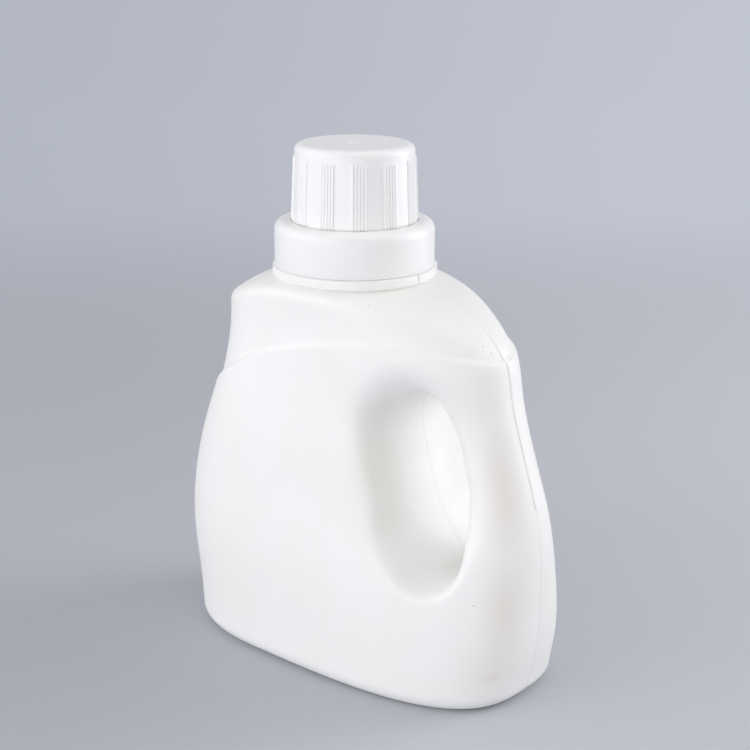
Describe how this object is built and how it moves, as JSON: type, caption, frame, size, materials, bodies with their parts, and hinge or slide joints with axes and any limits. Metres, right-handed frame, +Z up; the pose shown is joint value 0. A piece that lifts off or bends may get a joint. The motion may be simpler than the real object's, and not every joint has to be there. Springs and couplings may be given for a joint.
{
  "type": "laundry detergent bottle",
  "caption": "White blow-moulded detergent bottle with a through handle, a screw collar with pouring spout, and a ribbed measuring cap.",
  "frame": {"origin": "middle of the footprint on the ground, under the middle of the bottle's length", "axes": "+Z up along the neck, +X towards the handle, Y = 0 is the mould's parting plane"},
  "size_m": [0.166, 0.0896, 0.2035],
  "materials": {
    "blown_hdpe": "satin, slightly waxy",
    "moulded_pp": "smooth semi-gloss",
    "seal_foam": "soft matte"
  },
  "bodies": {
    "bottle_shell": {"bottle": "blown_hdpe"},
    "neck_seal": {"neck_gasket": "seal_foam"},
    "collar": {"spout_collar": "moulded_pp"},
    "cap_seal": {"cap_gasket": "seal_foam"},
    "cap": {"measuring_cap": "moulded_pp"}
  },
  "joints": [
    {"name": "collar_lift", "type": "slide", "parent": "bottle_shell", "child": "neck_seal", "axis": [0, 0, 1], "range_m": [0, 0.0142]},
    {"name": "collar_turn", "type": "hinge", "parent": "neck_seal", "child": "collar", "pos_m": [-0.01, 0, 0.166], "axis": [0, 0, 1], "range_deg": [0, 1260]},
    {"name": "cap_lift", "type": "slide", "parent": "collar", "child": "cap_seal", "axis": [0, 0, 1], "range_m": [0, 0.0227]},
    {"name": "cap_turn", "type": "hinge", "parent": "cap_seal", "child": "cap", "pos_m": [-0.01, 0, 0.185], "axis": [0, 0, 1], "range_deg": [0, 1620]}
  ],
  "couplings": [
    {"joint": "collar_lift", "follows": "collar_turn", "m_per_rad": 0.00063662},
    {"joint": "cap_lift", "follows": "cap_turn", "m_per_rad": 0.00079577}
  ]
}
